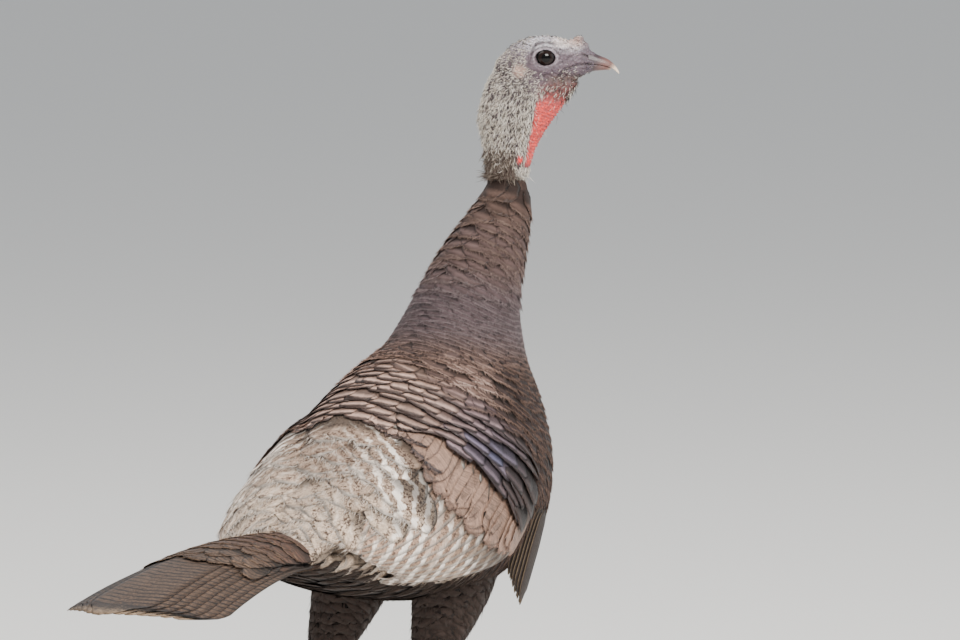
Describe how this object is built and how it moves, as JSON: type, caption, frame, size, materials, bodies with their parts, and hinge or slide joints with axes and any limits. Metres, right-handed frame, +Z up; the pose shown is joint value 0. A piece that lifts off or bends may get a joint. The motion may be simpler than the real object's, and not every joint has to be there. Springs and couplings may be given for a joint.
{
  "type": "wild turkey",
  "caption": "Life-size standing wild turkey hen with folded wings, long neck up and head turned to its right.",
  "frame": {"origin": "on the floor, under the middle of the bird's box", "axes": "+Z up, the trunk faces -Y, the bird's right side is -X, and its head is turned 58 degrees towards -X"},
  "size_m": [0.2118, 0.5982, 0.6382],
  "materials": {
    "dark_plumage": "dark brown feathers with black bars and tan edges",
    "pale_plumage": "pale tan and white barred wing feathers",
    "bare_skin": "bare blue-grey head skin, salmon red on the throat, with cream bristles",
    "bill": "pinkish horn with a pale tip",
    "eye": "wet dark brown",
    "leg_skin": "pinkish grey scales",
    "claw": "dark horn"
  },
  "bodies": {
    "root": {"bill_lower": "bill", "bill_upper": "bill", "claw_left_hind": "claw", "claw_left_inner": "claw", "claw_left_middle": "claw", "claw_left_outer": "claw", "claw_right_hind": "claw", "claw_right_inner": "claw", "claw_right_middle": "claw", "claw_right_outer": "claw", "eye_left": "eye", "eye_right": "eye", "head": "bare_skin", "neck_lower": "dark_plumage", "neck_upper": "bare_skin", "primaries_left": "dark_plumage", "primaries_right": "dark_plumage", "shank_left": "leg_skin", "shank_right": "leg_skin", "snood": "bare_skin", "tail": "dark_plumage", "thigh_left": "dark_plumage", "thigh_right": "dark_plumage", "toe_left_hind": "leg_skin", "toe_left_inner": "leg_skin", "toe_left_middle": "leg_skin", "toe_left_outer": "leg_skin", "toe_right_hind": "leg_skin", "toe_right_inner": "leg_skin", "toe_right_middle": "leg_skin", "toe_right_outer": "leg_skin", "trunk": "dark_plumage", "wing_left": "pale_plumage", "wing_right": "pale_plumage"}
  },
  "joints": []
}
